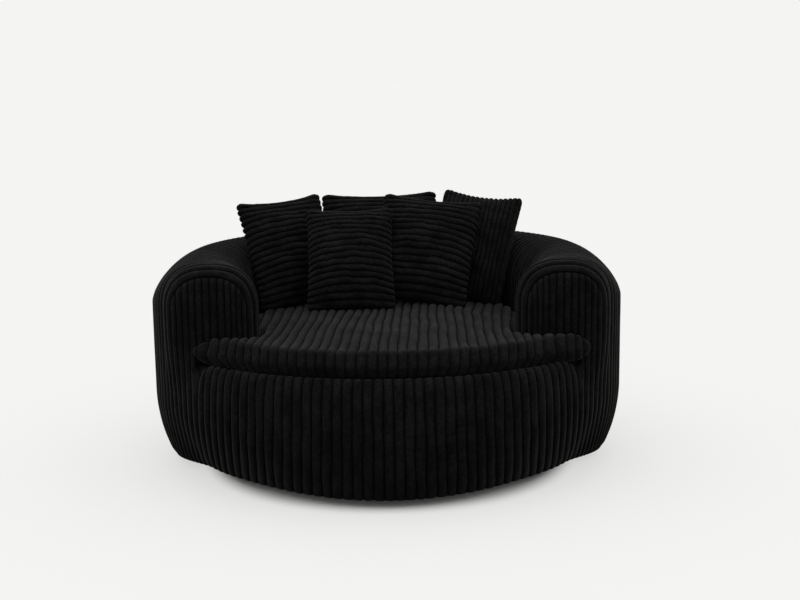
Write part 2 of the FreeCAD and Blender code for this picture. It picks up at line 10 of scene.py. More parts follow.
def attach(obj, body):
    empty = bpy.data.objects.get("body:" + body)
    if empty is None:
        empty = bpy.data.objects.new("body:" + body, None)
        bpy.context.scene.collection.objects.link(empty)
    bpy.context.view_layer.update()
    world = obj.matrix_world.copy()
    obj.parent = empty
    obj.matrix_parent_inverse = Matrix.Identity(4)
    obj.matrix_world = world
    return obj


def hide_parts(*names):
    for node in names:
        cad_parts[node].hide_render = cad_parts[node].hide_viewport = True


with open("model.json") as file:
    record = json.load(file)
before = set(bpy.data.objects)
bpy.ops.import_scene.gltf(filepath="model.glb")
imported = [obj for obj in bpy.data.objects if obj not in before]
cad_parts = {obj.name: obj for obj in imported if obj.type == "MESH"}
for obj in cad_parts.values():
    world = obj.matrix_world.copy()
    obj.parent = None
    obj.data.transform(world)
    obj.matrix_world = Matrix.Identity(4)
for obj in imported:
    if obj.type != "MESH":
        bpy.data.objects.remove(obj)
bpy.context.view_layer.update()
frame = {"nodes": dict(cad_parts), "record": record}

bl_info = {
    "name": "Round cord lounge chair",
    "version": (1, 0, 0),
    "blender": (4, 5, 0),
    "location": "3D Viewport > Sidebar > Lounge chair",
    "description": "Dresses the packed lounge chair in jumbo cord plush",
    "category": "Add Mesh",
}

# Sizes of the chair, in metres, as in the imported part
half_width = 0.755
half_depth = 0.660
side_thickness = 0.300
back_thickness = 0.270
arm_front = 0.285
arm_front_inner = 0.395
roll_height = 0.678
rim_height = 0.020
tuck_top = 0.250
nose_round = 0.080
deck_height = 0.384
cushion_bottom = 0.3843
cushion_edge_height = 0.084
cushion_crown = 0.026
crown_half_x = 0.375
crown_half_y = 0.460
crown_y = -0.115
crown_top_share = 0.36

# Sizes of the cloth, fitted to the photograph over that form
rim_tuck = 0.055
corner_tuck = 0.066
rim_round = 0.012
arm_squareness = 0.80
nose_seam_turn = math.radians(50)
nose_face_turn = math.radians(60)
crease_inset = 0.034
lip_height = 0.395
ledge_height = deck_height + 0.0002
ledge_length = 0.155
well_bottom = 0.345
cloth_thickness = 0.003

# How far the ridges stand out from the form, and how much of them the turned-under hem leaves
ridge_proud = 0.003
hem_height, hem_leaves = 0.035, 0.35

# Where each column of a wale lies, counted from its groove: close together where the cloth turns
wale_columns = (0, 0.07, 0.19, 0.34, 0.5, 0.66, 0.81, 0.93)

# The section of a wale: how full its round is, and how steep its sides
wale_fullness, wale_steepness = 2.1, 0.62

# How much wider and taller the cloth of a pillow is cut than its filled form, for its corners to stand out
stretched_wide = 1.020
stretched_tall = 1.060

# Each pillow: width, height, thickness, place of its foot, turn, lean and roll in degrees, upright wales
pillows = {
    "pillow_front_left": (0.285, 0.350, 0.125, (-0.1151, -0.0534), 0, 33, -1, False),
    "pillow_front_right": (0.334, 0.365, 0.130, (0.0942, 0.0285), -9, 31, 6, False),
    "pillow_left": (0.300, 0.370, 0.120, (-0.2780, 0.1061), 23, 27, -4, False),
    "pillow_back": (0.402, 0.365, 0.140, (-0.0168, 0.2558), 0, 24.5, -1, False),
    "pillow_right": (0.280, 0.370, 0.120, (0.2484, 0.1377), -18, 27, 6, True),
}


def linear(code):
    """An sRGB hex colour as the linear values that shaders take."""
    shares = [int(code[place : place + 2], 16) / 255 for place in (1, 3, 5)]
    return [s / 12.92 if s <= 0.04045 else ((s + 0.055) / 1.055) ** 2.4 for s in shares]


class ChairSizes(bpy.types.PropertyGroup):
    """Sizes that a maker of this chair would change."""

    body_pitch: bpy.props.FloatProperty(
        name="Body wale pitch",
        description="Width of one wale on arms, back and base",
        default=0.030,
        unit="LENGTH",
    )
    pillow_pitch: bpy.props.FloatProperty(
        name="Pillow wale pitch",
        description="Width of one wale on the pillows",
        default=0.021,
        unit="LENGTH",
    )
    body_ridge: bpy.props.FloatProperty(
        name="Body wale height",
        description="From groove to ridge on arms, back and base",
        default=0.0090,
        unit="LENGTH",
    )
    seat_ridge: bpy.props.FloatProperty(
        name="Seat wale height",
        description="From groove to ridge on the seat cushion",
        default=0.0105,
        unit="LENGTH",
    )
    pillow_ridge: bpy.props.FloatProperty(
        name="Pillow wale height",
        description="From groove to ridge on the pillows",
        default=0.0068,
        unit="LENGTH",
    )
    seat_turn: bpy.props.FloatProperty(
        name="Seat cloth turn",
        description="How far the seat cloth was cut off straight",
        default=math.radians(3),
        subtype="ANGLE",
    )


class ChairColours(bpy.types.PropertyGroup):
    """Colours of the cloth and of the floor."""

    plush: bpy.props.FloatVectorProperty(
        name="Cord plush",
        description="Colour of the pile",
        default=linear("#0e0e0e"),
        subtype="COLOR",
        min=0,
        max=1,
    )
    floor: bpy.props.FloatVectorProperty(
        name="Floor",
        description="Colour of floor and backdrop",
        default=linear("#f4f4f2"),
        subtype="COLOR",
        min=0,
        max=1,
    )


def sizes():
    """The sizes as the panel has them."""
    return bpy.context.scene.lounge_chair_sizes


def colours():
    """The colours as the panel has them."""
    return bpy.context.scene.lounge_chair_colours


# The materials, each for what it is in the real chair


def add(tree, kind, inputs=None, **settings):
    """Adds a node with its settings, and sets or links its sockets."""
    node = tree.nodes.new(kind)
    for name, value in settings.items():
        setattr(node, name, value)
    for name, value in (inputs or {}).items():
        if isinstance(value, bpy.types.NodeSocket):
            tree.links.new(value, node.inputs[name])
        else:
            node.inputs[name].default_value = value
    return node


def empty_material(name):
    """A material with an empty node tree, and the object coordinates to hang its patterns on."""
    material = bpy.data.materials.new(name)
    material.use_nodes = True
    tree = material.node_tree
    tree.nodes.clear()
    return material, tree, add(tree, "ShaderNodeTexCoord").outputs["Object"]


def finished(material, tree, surface):
    """Closes a material's tree with the values and patterns of its surface."""
    shader = add(tree, "ShaderNodeBsdfPrincipled", surface)
    add(tree, "ShaderNodeOutputMaterial", {"Surface": shader.outputs[0]})
    return material


def millimetres(size):
    """The scale of a pattern whose features are this many millimetres across."""
    return 1000 / size


def cord_plush():
    """Black polyester jumbo cord, brushed: a short dense pile with a soft sheen on its ridges. Its grooves
    are painted near black as painted shade, and its ridge tops painted lighter as painted sheen, in patches
    where hands have turned the pile the other way."""
    material, tree, place = empty_material("black_jumbo_cord_plush")
    ridge = add(tree, "ShaderNodeAttribute", attribute_name="wale").outputs["Fac"]
    # Patches and streaks where the pile lies the other way: they only set where the ridges get painted sheen
    laid_pile_sheen = {"Vector": place, "Scale": millimetres(70), "Detail": 3.0, "Roughness": 0.6}
    patches = add(tree, "ShaderNodeTexNoise", laid_pile_sheen)
    streaks = add(tree, "ShaderNodeTexNoise", {"Vector": place, "Scale": millimetres(9), "Roughness": 0.6})
    pile = add(tree, "ShaderNodeTexNoise", {"Vector": place, "Scale": millimetres(2.2), "Roughness": 0.7})
    wear_and_sheen = add(tree, "ShaderNodeMath", {0: patches.outputs[0], 1: streaks.outputs[0]}, operation="MULTIPLY")
    lit = add(tree, "ShaderNodeMapRange", {"Value": wear_and_sheen.outputs[0], "From Min": 0.16, "From Max": 0.38})
    share = add(tree, "ShaderNodeMath", {0: lit.outputs[0], 1: ridge}, operation="MULTIPLY")
    # groove: painted shade where the wale value is low; top: painted sheen on the ridge tops
    groove, plush, top = (*linear("#030303"), 1), (*colours().plush, 1), (*linear("#1e1e1f"), 1)
    base = add(tree, "ShaderNodeMix", {0: ridge, 6: groove, 7: plush}, data_type="RGBA")
    colour = add(tree, "ShaderNodeMix", {0: share.outputs[0], 6: base.outputs[2], 7: top}, data_type="RGBA")
    sheen = add(tree, "ShaderNodeMapRange", {"Value": ridge, "To Min": 0.0, "To Max": 0.17})
    nap = add(tree, "ShaderNodeBump", {"Height": pile.outputs[0], "Strength": 0.5, "Distance": 0.0012})
    surface = {
        "Base Color": colour.outputs[2],
        "Roughness": 0.95,
        "Specular IOR Level": 0.07,
        "Sheen Weight": sheen.outputs[0],
        "Sheen Roughness": 0.35,
        "Sheen Tint": (*linear("#d8d8d6"), 1),
        "Normal": nap.outputs[0],
    }
    return finished(material, tree, surface)


def plush_material():
    """The one plush of the whole chair, made when its first piece asks for it."""
    return bpy.data.materials.get("black_jumbo_cord_plush") or cord_plush()


def foam_block(name, low, high):
    """Cut polyurethane foam: open cells, drawn as coarse as they need to show, and yellowed a little where
    air has reached them."""
    material, tree, place = empty_material(name)
    cells = add(tree, "ShaderNodeTexVoronoi", {"Vector": place, "Scale": millimetres(3)})
    yellowed = add(tree, "ShaderNodeTexNoise", {"Vector": place, "Scale": millimetres(60)})
    shades = {0: yellowed.outputs[0], 6: (*linear(low), 1), 7: (*linear(high), 1)}
    colour = add(tree, "ShaderNodeMix", shades, data_type="RGBA")
    open_cells = {"Height": cells.outputs["Distance"], "Strength": 0.4, "Distance": 0.001}
    pores = add(tree, "ShaderNodeBump", open_cells)
    surface = {"Base Color": colour.outputs[2], "Roughness": 0.95, "Normal": pores.outputs[0]}
    return finished(material, tree, surface)


def planed_wood(name, low, high, rings):
    """Planed wood: long grain that runs along X, darker in the late wood, with fine pores."""
    material, tree, place = empty_material(name)
    along = add(tree, "ShaderNodeMapping", {"Vector": place, "Scale": (0.12, 1, 1)}).outputs[0]
    cloudy = add(tree, "ShaderNodeTexNoise", {"Vector": along, "Scale": millimetres(40), "Detail": 4.0})
    waves = {"Vector": along, "Scale": millimetres(rings) / 20, "Distortion": 6.0, "Detail": 3.0}
    late = add(tree, "ShaderNodeTexWave", waves, bands_direction="Y")
    share = add(tree, "ShaderNodeMath", {0: late.outputs["Fac"], 1: cloudy.outputs[0]}, operation="MULTIPLY")
    shades = {0: share.outputs[0], 6: (*linear(low), 1), 7: (*linear(high), 1)}
    colour = add(tree, "ShaderNodeMix", shades, data_type="RGBA")
    pores = add(tree, "ShaderNodeTexNoise", {"Vector": along, "Scale": millimetres(1.5), "Detail": 3.0})
    grain = add(tree, "ShaderNodeBump", {"Height": pores.outputs[0], "Strength": 0.2, "Distance": 0.0005})
    surface = {"Base Color": colour.outputs[2], "Roughness": 0.55, "Normal": grain.outputs[0]}
    return finished(material, tree, surface)


def woven_cloth(name, low, high, thread):
    """Woven lining or webbing: two crossing sets of threads, drawn as coarse as they need to show."""
    material, tree, place = empty_material(name)
    threads = {"Vector": place, "Scale": millimetres(thread) / 20}
    warp = add(tree, "ShaderNodeTexWave", threads, bands_direction="X")
    weft = add(tree, "ShaderNodeTexWave", threads, bands_direction="Y")
    crossed = {0: warp.outputs["Fac"], 1: weft.outputs["Fac"]}
    weave = add(tree, "ShaderNodeMath", crossed, operation="MULTIPLY")
    shades = {0: weave.outputs[0], 6: (*linear(low), 1), 7: (*linear(high), 1)}
    colour = add(tree, "ShaderNodeMix", shades, data_type="RGBA")
    raised = add(tree, "ShaderNodeBump", {"Height": weave.outputs[0], "Strength": 0.4, "Distance": 0.0004})
    surface = {"Base Color": colour.outputs[2], "Roughness": 0.85, "Normal": raised.outputs[0]}
    return finished(material, tree, surface)


def moulded_nylon(name, low, high):
    """Injection moulded nylon: satin, with the fine spark texture of its tool."""
    material, tree, place = empty_material(name)
    clouds = add(tree, "ShaderNodeTexNoise", {"Vector": place, "Scale": millimetres(25)})
    shades = {0: clouds.outputs[0], 6: (*linear(low), 1), 7: (*linear(high), 1)}
    colour = add(tree, "ShaderNodeMix", shades, data_type="RGBA")
    spark = add(tree, "ShaderNodeTexNoise", {"Vector": place, "Scale": millimetres(1.2)})
    texture = add(tree, "ShaderNodeBump", {"Height": spark.outputs[0], "Strength": 0.25, "Distance": 0.0003})
    surface = {"Base Color": colour.outputs[2], "Roughness": 0.42, "IOR": 1.53, "Normal": texture.outputs[0]}
    return finished(material, tree, surface)


def powder_coat():
    """Black powder coat over pressed steel: a low orange peel that breaks up the highlight."""
    material, tree, place = empty_material("black_powder_coat")
    clouds = add(tree, "ShaderNodeTexNoise", {"Vector": place, "Scale": millimetres(30)})
    shades = {0: clouds.outputs[0], 6: (*linear("#161617"), 1), 7: (*linear("#1f1f21"), 1)}
    colour = add(tree, "ShaderNodeMix", shades, data_type="RGBA")
    peel = add(tree, "ShaderNodeTexNoise", {"Vector": place, "Scale": millimetres(2)})
    texture = add(tree, "ShaderNodeBump", {"Height": peel.outputs[0], "Strength": 0.35, "Distance": 0.0004})
    surface = {"Base Color": colour.outputs[2], "Roughness": 0.5, "Normal": texture.outputs[0]}
    return finished(material, tree, surface)


def zinc_plate():
    """Bright zinc plate on steel: bluish grey, with dull finger marks."""
    material, tree, place = empty_material("bright_zinc_plate")
    marks = add(tree, "ShaderNodeTexNoise", {"Vector": place, "Scale": millimetres(12), "Detail": 3.0})
    shades = {0: marks.outputs[0], 6: (*linear("#b9bdc2"), 1), 7: (*linear("#d3d5d6"), 1)}
    colour = add(tree, "ShaderNodeMix", shades, data_type="RGBA")
    dull = add(tree, "ShaderNodeMapRange", {"Value": marks.outputs[0], "To Min": 0.22, "To Max": 0.42})
    surface = {"Base Color": colour.outputs[2], "Metallic": 1.0, "Roughness": dull.outputs[0]}
    return finished(material, tree, surface)


# The soft shadow on the floor: how far ahead its oval lies and its scale, where the floor's own light starts
# and is full, and how much of it there is inside and outside
shadow_ahead, shadow_scale = 0.15, (1.491, 1.58, 0)
glow_from, glow_full, glow_least, glow_most = 0.76, 0.90, 0.02, 0.66
floor_bounce = (0.22, 0.22, 0.22, 1)


def pale_floor():
    """A matt pale studio floor. Its own light fills the soft shadow outside the chair's contact with it, as
    in the photograph, and what it throws back on the chair is held low."""
    material, tree, place = empty_material("matt_pale_floor")
    paint = add(tree, "ShaderNodeBsdfDiffuse", {"Color": (*colours().floor, 1)})
    glow = add(tree, "ShaderNodeEmission", {"Color": (*colours().floor, 1), "Strength": 1.0})
    oval_place = {"Vector": place, "Location": (0, shadow_ahead, 0), "Scale": shadow_scale}
    spread = add(tree, "ShaderNodeMapping", oval_place).outputs[0]
    reach = add(tree, "ShaderNodeVectorMath", {0: spread}, operation="LENGTH").outputs["Value"]
    share = {
        "Value": reach,
        "From Min": glow_from,
        "From Max": glow_full,
        "To Min": glow_least,
        "To Max": glow_most,
    }
    filled = add(tree, "ShaderNodeMapRange", share, interpolation_type="SMOOTHSTEP")
    seen = add(tree, "ShaderNodeMixShader", {0: filled.outputs[0], 1: paint.outputs[0], 2: glow.outputs[0]})
    bounce = add(tree, "ShaderNodeBsdfDiffuse", {"Color": floor_bounce})
    rays = add(tree, "ShaderNodeLightPath")
    by_ray = {0: rays.outputs["Is Camera Ray"], 1: bounce.outputs[0], 2: seen.outputs[0]}
    mixed = add(tree, "ShaderNodeMixShader", by_ray)
    add(tree, "ShaderNodeOutputMaterial", {"Surface": mixed.outputs[0]})
    return material


# Cloth surfaces: a grid whose points lie on the surface, and are then raised by its wales


def wale_height(count):
    """How high the cloth stands at a place counted in wales: 0 in the groove, 1 on the ridge."""
    across = np.abs((count % 1) * 2 - 1)
    return np.clip(1 - across**wale_fullness, 0, 1) ** wale_steepness


def wale_places(number):
    """The columns of a number of wales, counted in wales."""
    columns = [whole + part for whole in range(number) for part in wale_columns]
    return np.array(columns + [number], float)


def smooth_share(value, low, high):
    """A share that rises softly from 0 at low to 1 at high."""
    share = np.clip((value - low) / (high - low), 0, 1)
    return share * share * (3 - 2 * share)


def wander(a, b):
    """A smooth uneven wave between about -1 and 1, for wales that don't run quite straight. The factors in
    its calls say how quickly it changes each way."""
    first = np.sin(1.3 * a + 2.1 * b + 0.7) + np.sin(2.9 * a - 1.7 * b + 2.4)
    second = np.sin(0.7 * a + 4.3 * b + 4.1) + np.sin(5.3 * a + 3.1 * b + 1.2)
    return (first + second) / 3


def surface_normals(points):
    """Unit normals of a grid of points, square to its columns and rows."""
    normals = np.cross(np.gradient(points, axis=0), np.gradient(points, axis=1))
    return normals / np.maximum(np.linalg.norm(normals, axis=2, keepdims=True), 1e-9)


def grid_mesh(name, points, ridges, keep=None):
    """A grid piece through these points, columns first, with the wale height as an attribute."""
    columns, rows = points.shape[:2]
    made = bmesh.new()
    bmesh.ops.create_grid(made, x_segments=columns - 1, y_segments=rows - 1, size=0.5)
    mesh = bpy.data.meshes.new(name)
    made.to_mesh(mesh)
    made.free()
    flat = np.empty(len(mesh.vertices) * 3)
    mesh.vertices.foreach_get("co", flat)
    flat = flat.reshape(-1, 3)
    column = np.rint((flat[:, 0] + 0.5) * (columns - 1)).astype(int)
    row = np.rint((flat[:, 1] + 0.5) * (rows - 1)).astype(int)
    mesh.vertices.foreach_set("co", points[column, row].ravel())
    attribute = mesh.attributes.new("wale", "FLOAT", "POINT")
    attribute.data.foreach_set("value", ridges[column, row].astype(np.float32))
    if keep is not None:
        cut = bmesh.new()
        cut.from_mesh(mesh)
        cut.verts.ensure_lookup_table()
        gone = [cut.verts[i] for i in np.nonzero(~keep[column, row])[0]]
        bmesh.ops.delete(cut, geom=gone, context="VERTS")
        cut.to_mesh(mesh)
        cut.free()
    return mesh


def new_piece(name, mesh, body, *nodes):
    """A piece of plush that rides on a body and stands for its cover and its filling."""
    piece = bpy.data.objects.new(name, mesh)
    bpy.context.scene.collection.objects.link(piece)
    mesh.materials.append(plush_material())
    mesh.shade_smooth()
    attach(piece, body)
    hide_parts(*nodes)
    return piece


def upholster(name, mesh, *nodes):
    """A padded piece of the chair's body. Its sheet gets the cloth's thickness on its hidden side."""
    piece = new_piece(name, mesh, "chair_body", *nodes)
    shell = piece.modifiers.new("cloth", "SOLIDIFY")
    shell.thickness = cloth_thickness
    shell.offset = -1
    shell.use_rim = True


def oval(angle):
    """Points of the outer oval and its inward normals, as arrays."""
    outer = np.stack([half_width * np.cos(angle), half_depth * np.sin(angle)], -1)
    inward = -np.stack([np.cos(angle) / half_width, np.sin(angle) / half_depth], -1)
    inward /= np.linalg.norm(inward, axis=-1, keepdims=True)
    return outer, inward


def well_edge(angle):
    """The seat well's edge at an angle from -26 to 90 degrees: nearly straight arms, an oval behind."""
    inner_x = half_width - side_thickness
    back = np.stack([inner_x * np.cos(angle), (half_depth - back_thickness) * np.sin(angle)], -1)
    forward = -half_depth * np.sin(angle)
    share = np.clip(forward / arm_front, 0, 2)
    arm = np.stack([inner_x - (inner_x - arm_front_inner) * share**2, -forward], -1)
    return np.where((angle >= 0)[..., None], back, arm)


def stations(angle):
    """Outer points, inward directions and widths of the horseshoe at these angles."""
    mirrored = angle > math.pi / 2
    half = np.where(mirrored, math.pi - angle, angle)
    outer, inner = oval(half)[0], well_edge(half)
    sign = np.where(mirrored, -1.0, 1.0)[..., None] * np.array([1.0, 0.0]) + np.array([0.0, 1.0])
    chord = (inner - outer) * sign
    width = np.linalg.norm(chord, axis=-1)
    return outer * sign, chord / width[..., None], width


# The lower wall: its front corners, in degrees off the sides, how it curves under, how much less it does so
# there, and how far its lip goes in and up
corner_from, corner_full, corner_fades, corner_gone = 10, 30, 45, 90
tuck_curve, corner_flatter = 2.05, 0.65
hidden_lip, lip_above_rim = 0.035, 0.001

# How the wales of the front spread a little as they hang, and how fast those of the sides run together
hang_spread, hang_power, side_power = 0.04, 4, 7


def corner_share(angle):
    """1 at the two front corners, 0 along the back and the sides."""
    off_side = np.degrees(np.arcsin(np.clip(-np.sin(angle), 0, 1)))
    rising = smooth_share(off_side, corner_from, corner_full)
    return rising * smooth_share(-off_side, -corner_gone, -corner_fades)


def tuck_depth(height, angle):
    """How deep the lower wall lies inside the oval: curved under, but straighter at the front corners."""
    corner = corner_share(angle)
    drop = np.clip((tuck_top - height) / (tuck_top - rim_height), 0, 1)
    return (rim_tuck + corner_tuck * corner) * drop ** (tuck_curve - corner_flatter * corner)


def lower_wall_heights(lip_rows=4, tuck_rows=14):
    """Heights of the wall from its lip, turned under, to its upright part, and how far the lip is in."""
    turn = np.linspace(0, math.pi / 2, lip_rows)
    rise = np.linspace(rim_height + rim_round, tuck_top, tuck_rows)[1:]
    height = np.concatenate([[rim_height + lip_above_rim], rim_height + rim_round * (1 - np.cos(turn)), rise])
    turned_in = np.concatenate([[hidden_lip], rim_round * (1 - np.sin(turn)), np.zeros(len(rise))])
    return height, turned_in


def wall_points(lengths, height, turned_in):
    """Places on the wall (columns by rows) at these path lengths. Where it draws in, the wales of the front
    keep hanging straight down, and those of the sides run together."""
    low = np.maximum(np.broadcast_to(height, lengths.shape), rim_height + rim_round)
    angle = path.angle_at(lengths)
    quarter = np.linspace(0, math.pi / 2, 181)
    outer, inward = oval(-quarter)
    for row in np.nonzero(low.min(axis=0) < tuck_top)[0]:
        feet = outer[:, 0] + inward[:, 0] * tuck_depth(low[0, row], -quarter)
        across, ahead = np.cos(angle[:, row]), np.sin(angle[:, row]) < 0
        share, drop = np.abs(across), (tuck_top - low[0, row]) / (tuck_top - rim_height)
        spread = 1 + hang_spread * drop * (1 - share**hang_power)
        hung = half_width * share * spread - (half_width - feet[0]) * share**side_power
        off_side = np.interp(hung, feet[::-1], quarter[::-1])
        moved = np.where(across > 0, -off_side, math.pi + off_side)
        angle[:, row] = np.where(ahead, moved, angle[:, row])
    outer, inward = oval(angle)
    depth = tuck_depth(low, angle) + turned_in
    return outer + inward * depth[..., None]


class Path:
    """Arc length along the outer oval, from the right arm's end round the back to the left arm's end."""

    def __init__(self):
        self.end = math.asin(arm_front / half_depth)
        self.angles = np.linspace(-math.pi / 2, 2.5 * math.pi, 6001)
        points = oval(self.angles)[0]
        steps = np.linalg.norm(np.diff(points, axis=0), axis=1)
        self.lengths = np.concatenate([[0], np.cumsum(steps)])
        self.start = self.length_at(-self.end)
        self.stop = self.length_at(math.pi + self.end)

    def length_at(self, angle):
        """The path length at an angle of the oval."""
        return np.interp(angle, self.angles, self.lengths)

    def angle_at(self, length):
        """The oval's angle at a path length."""
        return np.interp(length, self.lengths, self.angles)


path = Path()


def raise_wales(points, ridges):
    """Moves the cloth out on its ridges and in at its grooves. The hem presses the ridges flat."""
    above_hem = smooth_share(points[..., 2], rim_height, rim_height + hem_height)
    ridges = ridges * (hem_leaves + (1 - hem_leaves) * above_hem)
    depth = sizes().body_ridge
    return points + surface_normals(points) * (ridges * depth - (depth - ridge_proud))[..., None]


# The horseshoe roll: rows of its section
wall_rows, top_rows, inner_rows = 8, 32, 9

# How much its outside slumps behind the arm ends, over which length, and between which turns of the section
slump, slump_length = 0.48, 0.22
slump_from, slump_full = 0.62 * math.pi, 0.40 * math.pi

# Between these heights the hanging lower wall passes into the roll's own section
hang_top, hang_gone = 0.27, 0.47

# The nose at the arm ends: its length along the path, and how far in and how far forward its seam lies
nose_length = nose_round * nose_seam_turn
seam_drawn = nose_round * (1 - math.cos(nose_seam_turn))
seam_y = -arm_front - nose_round * math.sin(nose_seam_turn)

# Behind its arm ends, counted in wales, the roll's cord is worn flatter on top, by height. There the lower
# wale value paints it with more of the plush's painted groove shade and less painted sheen
worn_from, worn_full = 3, 8
worn_low, worn_high, wear_and_sheen = 0.50, 0.64, 0.42

# How far the wales sway sideways on the roll and on the base, and within how many wales of an end they don't
roll_sway, roll_steady = 0.0022, 4
base_sway, base_steady = 0.002, 3


def arch(turn, behind):
    """Across and up shares of the roll's top at a turn from 0, outside, to pi, inside: flat-topped at the arm
    ends, and slumped on its outside behind them. Each place has its row, and its own way behind the end."""
    outside = smooth_share(-turn, -slump_from, -slump_full)[None]
    squareness = arm_squareness + slump * (smooth_share(behind, 0.0, slump_length)[:, None] * outside)
    across = -np.sign(np.cos(turn))[None] * np.abs(np.cos(turn))[None] ** squareness
    return across, np.abs(np.sin(turn))[None] ** squareness


def roll_rows():
    """The roll's section from the hem up: heights of the lower wall, shares of the upper wall, turns of the
    top, and shares of the inside."""
    wall = np.linspace(0, 1, wall_rows + 1)[1:]
    turns = np.linspace(0, math.pi, top_rows + 1)[1:]
    inside = np.linspace(0, 1, inner_rows + 1)[1:]
    return lower_wall_heights()[0], wall, turns, inside


def roll_points(lengths):
    """Depths and heights of the roll's section at these path lengths. Past an arm's end it turns in on the
    nose."""
    low_height, wall, turns, inside = roll_rows()
    past = np.clip(path.start - lengths, 0, None) + np.clip(lengths - path.stop, 0, None)
    outer, inward, width = stations(path.angle_at(np.clip(lengths, path.start, path.stop)))
    drawn = nose_round * (1 - np.cos(past / nose_round))
    forward = nose_round * np.sin(past / nose_round)
    half = width / 2
    spring = roll_height - half
    upright = slice(len(low_height), len(low_height) + wall_rows)
    over = slice(upright.stop, upright.stop + top_rows)
    down = slice(over.stop, over.stop + inner_rows)
    depth = np.zeros((len(lengths), down.stop))
    height = np.zeros_like(depth)
    height[:, : upright.start] = low_height
    height[:, upright] = tuck_top + (spring[:, None] - tuck_top) * wall
    depth[:, upright] = drawn[:, None]
    across, up = arch(turns, np.minimum(lengths - path.start, path.stop - lengths))
    reach = (half - drawn)[:, None]
    depth[:, over] = half[:, None] + reach * across
    height[:, over] = spring[:, None] + reach * up
    depth[:, down] = (width - drawn)[:, None]
    height[:, down] = spring[:, None] + (well_bottom - spring[:, None]) * inside
    return outer, inward, forward, depth, height


def roll_surface(lengths):
    """Points of the roll at path lengths given per column and row."""
    middle = lengths.mean(axis=1)
    columns, rows = lengths.shape
    points = np.zeros((columns, rows, 3))
    outer, inward, forward, depth, height = roll_points(middle)
    shift = lengths - middle[:, None]
    upper = outer[:, None] + inward[:, None] * depth[..., None]
    upper[..., 1] -= forward[:, None]
    along = np.stack([-inward[:, 1], inward[:, 0]], -1)
    upper = upper - along[:, None] * shift[..., None]
    low_height, low_turned_in = lower_wall_heights()
    turned_in = np.zeros(rows)
    turned_in[: len(low_height)] = low_turned_in
    lower = wall_points(lengths, height, turned_in)
    share = smooth_share(height, hang_top, hang_gone)
    share[:, len(low_height) + wall_rows :] = 1
    points[..., :2] = lower * (1 - share[..., None]) + upper * share[..., None]
    points[..., 2] = height
    return points


class LOUNGE_OT_arm_roll(bpy.types.Operator):
    """The horseshoe roll's plush, whose wales run up the outside, over the roll and down the inside"""

    bl_idname = "lounge_chair.arm_roll"
    bl_label = "Arm and back roll"

    def execute(self, context):
        total = path.stop - path.start + 2 * nose_length
        number = round(total / sizes().body_pitch)
        count = wale_places(number)
        base = path.start - nose_length + count / number * total
        row = np.linspace(0, 1, sum(len(part) for part in roll_rows()))[None]
        from_end = np.minimum(count, number - count)
        steady = smooth_share(from_end, 0, roll_steady)[:, None]
        sway = roll_sway * steady * wander(count[:, None] * 1.9, row * 7)
        points = roll_surface(base[:, None] + sway)
        behind = smooth_share(from_end, worn_from, worn_full)[:, None]
        flatter = wear_and_sheen * behind * smooth_share(points[..., 2], worn_low, worn_high)
        # Lower ridges here also mean more painted groove shade and less painted sheen
        ridges = wale_height(count)[:, None] * (1 - flatter)
        mesh = grid_mesh("arm_back_plush", raise_wales(points, ridges), ridges)
        upholster("arm_back_plush", mesh, "arm_back_cover", "arm_back_foam")
        return {"FINISHED"}


# The base front and the sides below the arm faces, which share their shoulder, lip and ledge. An arm face has
# 12 wales, and the outer 8 run on down the base's side at their own pitch
face_wales, outer_face_wales = 12, 8
base_side_pitch = 0.028
shoulder_curve, shoulder_rise = 2.2, 1.15
head_below, head_above = 0.005, 0.004

# The base front's ledge: its rows and first step, how many wales from its ends it turns to the arm faces, and
# how far it runs past their foot and under them
base_ledge_rows, first_step = 6, 0.014
turned_wales = 4
ledge_overrun, ledge_overlap = 1.25, 0.004


def crease_rows(number=10):
    """Depths and heights from the upright wall over the shoulder to the lip at the crease."""
    turn = np.linspace(0, 1, number)[1:]
    rise = np.sin(turn * math.pi / 2) ** shoulder_rise
    return crease_inset * turn**shoulder_curve, tuck_top + (lip_height - tuck_top) * rise


def round_heads(height):
    """How much of its height a wale keeps up to the lip, where it ends in a round head."""
    return np.sqrt(smooth_share(-height, -lip_height - head_above, -lip_height + head_below))


